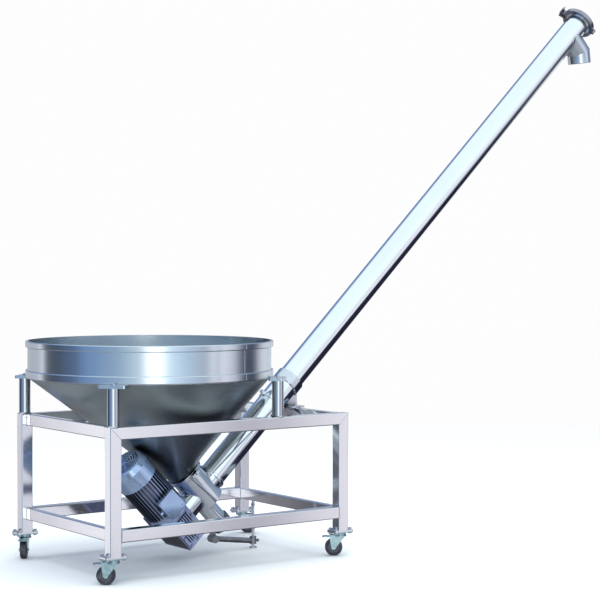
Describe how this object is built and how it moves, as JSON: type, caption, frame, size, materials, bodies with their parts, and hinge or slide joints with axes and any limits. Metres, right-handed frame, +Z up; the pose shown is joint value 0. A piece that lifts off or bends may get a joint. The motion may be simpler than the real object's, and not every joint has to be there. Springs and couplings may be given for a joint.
{
  "type": "grain auger",
  "caption": "Mobile inclined grain auger: round feed hopper on a castored square-tube stand, polished screw tube with worm-gear motor and elbow spout.",
  "frame": {"origin": "on the floor, at the middle of the whole object's footprint", "axes": "+X along the stand towards the discharge end, +Y to the back of the stand, away from the motor, +Z up"},
  "size_m": [3.1322, 1.04, 2.5711],
  "materials": {
    "frame_steel": "satin ground stainless tube",
    "hopper_steel": "rolled stainless sheet, brushed",
    "polished_steel": "mirror polished stainless",
    "zinc_plate": "bright zinc plated",
    "tyre_rubber": "dark grey rubber",
    "hub_plastic": "moulded",
    "fastener_steel": "zinc plated and stainless fasteners",
    "bearing_steel": "machined steel",
    "bronze": "cast bronze",
    "fan_plastic": "black moulded",
    "cast_aluminium": "die cast, silver blue",
    "painted_silver": "silver blue paint"
  },
  "bodies": {
    "stand": {"auger_tube": "polished_steel", "caster_top_plates": "zinc_plate", "clean_out_pipe": "polished_steel", "discharge_spout": "polished_steel", "end_bearing": "bearing_steel", "end_clamp": "polished_steel", "end_cover": "polished_steel", "fan_cowl": "painted_silver", "foot_plates": "frame_steel", "gearbox_cover": "cast_aluminium", "gearbox_housing": "cast_aluminium", "hopper_cone": "hopper_steel", "hopper_cylinder": "hopper_steel", "hopper_hoops": "hopper_steel", "hopper_lugs": "hopper_steel", "inlet_housing": "polished_steel", "leg_back_left": "frame_steel", "leg_back_right": "frame_steel", "leg_front_left": "frame_steel", "leg_front_right": "frame_steel", "lower_rail_back": "frame_steel", "lower_rail_front": "frame_steel", "lower_rail_left": "frame_steel", "lower_rail_right": "frame_steel", "motor_housing": "cast_aluminium", "outlet_band": "polished_steel", "stand_bolts": "fastener_steel", "support_arm": "fastener_steel", "support_posts": "polished_steel", "terminal_box": "painted_silver", "terminal_box_lid": "painted_silver", "top_rail_back": "frame_steel", "top_rail_front": "frame_steel", "top_rail_left": "frame_steel", "top_rail_right": "frame_steel", "tube_collars": "polished_steel", "tube_saddle": "polished_steel"},
    "auger": {"auger_shaft": "bearing_steel", "auger_flight": "bearing_steel", "worm_wheel": "bronze"},
    "motor_rotor": {"worm_shaft": "bearing_steel", "cooling_fan": "fan_plastic"},
    "levelling_rod": {"levelling_rod": "fastener_steel"},
    "wing_nut": {"wing_nut": "polished_steel"},
    "swivel_front_left": {"caster_yoke_front_left": "zinc_plate"},
    "wheel_front_left": {"caster_hub_front_left": "hub_plastic", "caster_tyre_front_left": "tyre_rubber"},
    "pedal_front_left": {"brake_pedal_front_left": "zinc_plate"},
    "swivel_front_right": {"caster_yoke_front_right": "zinc_plate"},
    "wheel_front_right": {"caster_hub_front_right": "hub_plastic", "caster_tyre_front_right": "tyre_rubber"},
    "pedal_front_right": {"brake_pedal_front_right": "zinc_plate"},
    "swivel_back_left": {"caster_yoke_back_left": "zinc_plate"},
    "wheel_back_left": {"caster_hub_back_left": "hub_plastic", "caster_tyre_back_left": "tyre_rubber"},
    "pedal_back_left": {"brake_pedal_back_left": "zinc_plate"},
    "swivel_back_right": {"caster_yoke_back_right": "zinc_plate"},
    "wheel_back_right": {"caster_hub_back_right": "hub_plastic", "caster_tyre_back_right": "tyre_rubber"},
    "pedal_back_right": {"brake_pedal_back_right": "zinc_plate"}
  },
  "joints": [
    {"name": "auger_spin", "type": "hinge", "parent": "stand", "child": "auger", "pos_m": [-0.93081, 0, 0.149], "axis": [0.7206, 0, 0.6934], "continuous": true},
    {"name": "motor_spin", "type": "hinge", "parent": "stand", "child": "motor_rotor", "pos_m": [-0.93946, -0.075, 0.14068], "axis": [0.6934, 0, -0.7206], "continuous": true},
    {"name": "levelling_slide", "type": "slide", "parent": "stand", "child": "levelling_rod", "axis": [0, 0, 1], "range_m": [0, 0.012]},
    {"name": "wing_nut_spin", "type": "hinge", "parent": "stand", "child": "wing_nut", "pos_m": [1.44796, 0.06429, 2.54079], "axis": [-0.4549, -0.7547, 0.4727], "continuous": true},
    {"name": "swivel_front_left", "type": "hinge", "parent": "stand", "child": "swivel_front_left", "pos_m": [-1.44102, -0.375, 0], "axis": [0, 0, 1], "continuous": true},
    {"name": "roll_front_left", "type": "hinge", "parent": "swivel_front_left", "child": "wheel_front_left", "pos_m": [-1.46358, -0.35842, 0.0375], "axis": [-0.592, -0.8059, 0], "continuous": true},
    {"name": "brake_front_left", "type": "hinge", "parent": "swivel_front_left", "child": "pedal_front_left", "pos_m": [-1.47164, -0.3525, 0.0826], "axis": [-0.592, -0.8059, 0], "range_deg": [0, 14]},
    {"name": "swivel_front_right", "type": "hinge", "parent": "stand", "child": "swivel_front_right", "pos_m": [-0.32102, -0.375, 0], "axis": [0, 0, 1], "continuous": true},
    {"name": "roll_front_right", "type": "hinge", "parent": "swivel_front_right", "child": "wheel_front_right", "pos_m": [-0.34358, -0.35842, 0.0375], "axis": [-0.592, -0.8059, 0], "continuous": true},
    {"name": "brake_front_right", "type": "hinge", "parent": "swivel_front_right", "child": "pedal_front_right", "pos_m": [-0.35164, -0.3525, 0.0826], "axis": [-0.592, -0.8059, 0], "range_deg": [0, 14]},
    {"name": "swivel_back_left", "type": "hinge", "parent": "stand", "child": "swivel_back_left", "pos_m": [-1.44102, 0.375, 0], "axis": [0, 0, 1], "continuous": true},
    {"name": "roll_back_left", "type": "hinge", "parent": "swivel_back_left", "child": "wheel_back_left", "pos_m": [-1.45759, 0.35243, 0.0375], "axis": [0.8059, -0.592, 0], "continuous": true},
    {"name": "brake_back_left", "type": "hinge", "parent": "swivel_back_left", "child": "pedal_back_left", "pos_m": [-1.46351, 0.34437, 0.0826], "axis": [0.8059, -0.592, 0], "range_deg": [0, 14]},
    {"name": "swivel_back_right", "type": "hinge", "parent": "stand", "child": "swivel_back_right", "pos_m": [-0.32102, 0.375, 0], "axis": [0, 0, 1], "continuous": true},
    {"name": "roll_back_right", "type": "hinge", "parent": "swivel_back_right", "child": "wheel_back_right", "pos_m": [-0.29845, 0.35842, 0.0375], "axis": [0.592, 0.8059, 0], "continuous": true},
    {"name": "brake_back_right", "type": "hinge", "parent": "swivel_back_right", "child": "pedal_back_right", "pos_m": [-0.29039, 0.3525, 0.0826], "axis": [0.592, 0.8059, 0], "range_deg": [0, 14]}
  ],
  "couplings": [
    {"joint": "motor_spin", "follows": "auger_spin", "ratio": 7.5}
  ]
}
